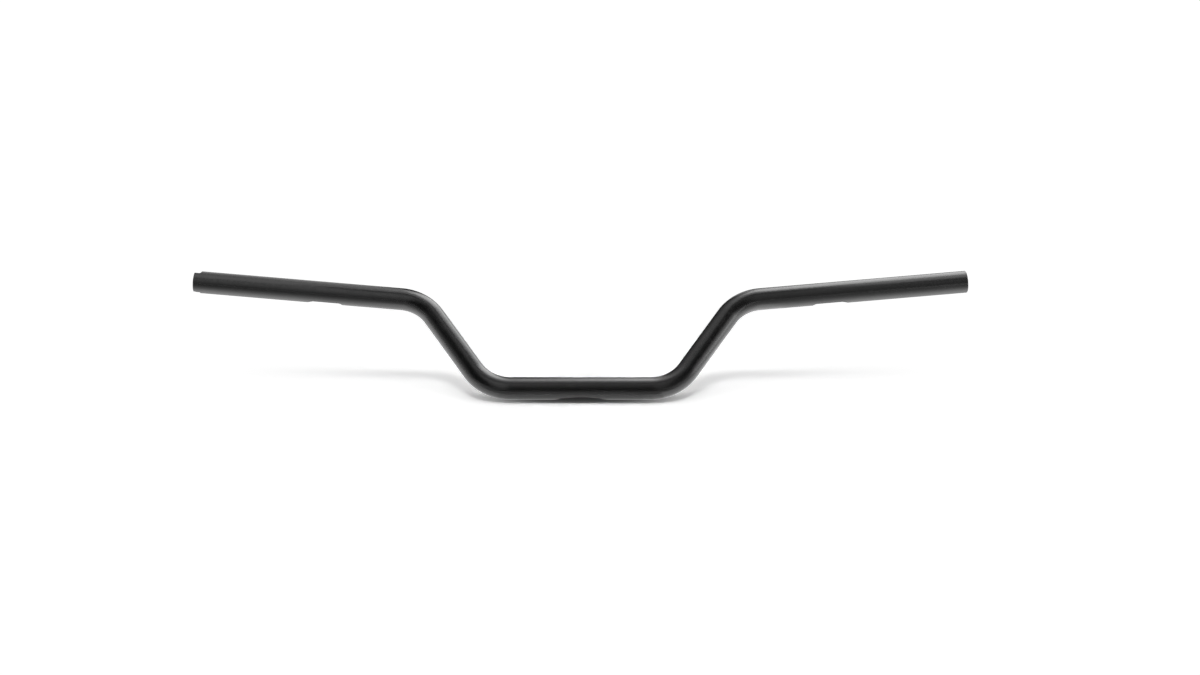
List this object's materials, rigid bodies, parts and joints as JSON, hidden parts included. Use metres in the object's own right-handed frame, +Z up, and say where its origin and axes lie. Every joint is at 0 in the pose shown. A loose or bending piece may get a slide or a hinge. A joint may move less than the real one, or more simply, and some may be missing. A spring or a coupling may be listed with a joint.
{
  "type": "motorcycle handlebar",
  "caption": "Bent steel tube handlebar in satin black with a straight clamp section, rising sides and long arms, with wiring windows underneath and notches in the throttle tip.",
  "frame": {"origin": "middle of the straight clamp section, on the tube's centre line", "axes": "+X along the clamp section towards the clutch-side tip (right in the picture), +Y towards the rider (away from the camera), +Z up, with the plane of the bends leaning back as the picture shows it"},
  "size_m": [0.8912, 0.1276, 0.1206],
  "materials": {
    "satin_black_coat": "satin black powder coat on steel tube"
  },
  "bodies": {
    "root": {"handlebar": "satin_black_coat"}
  },
  "joints": []
}
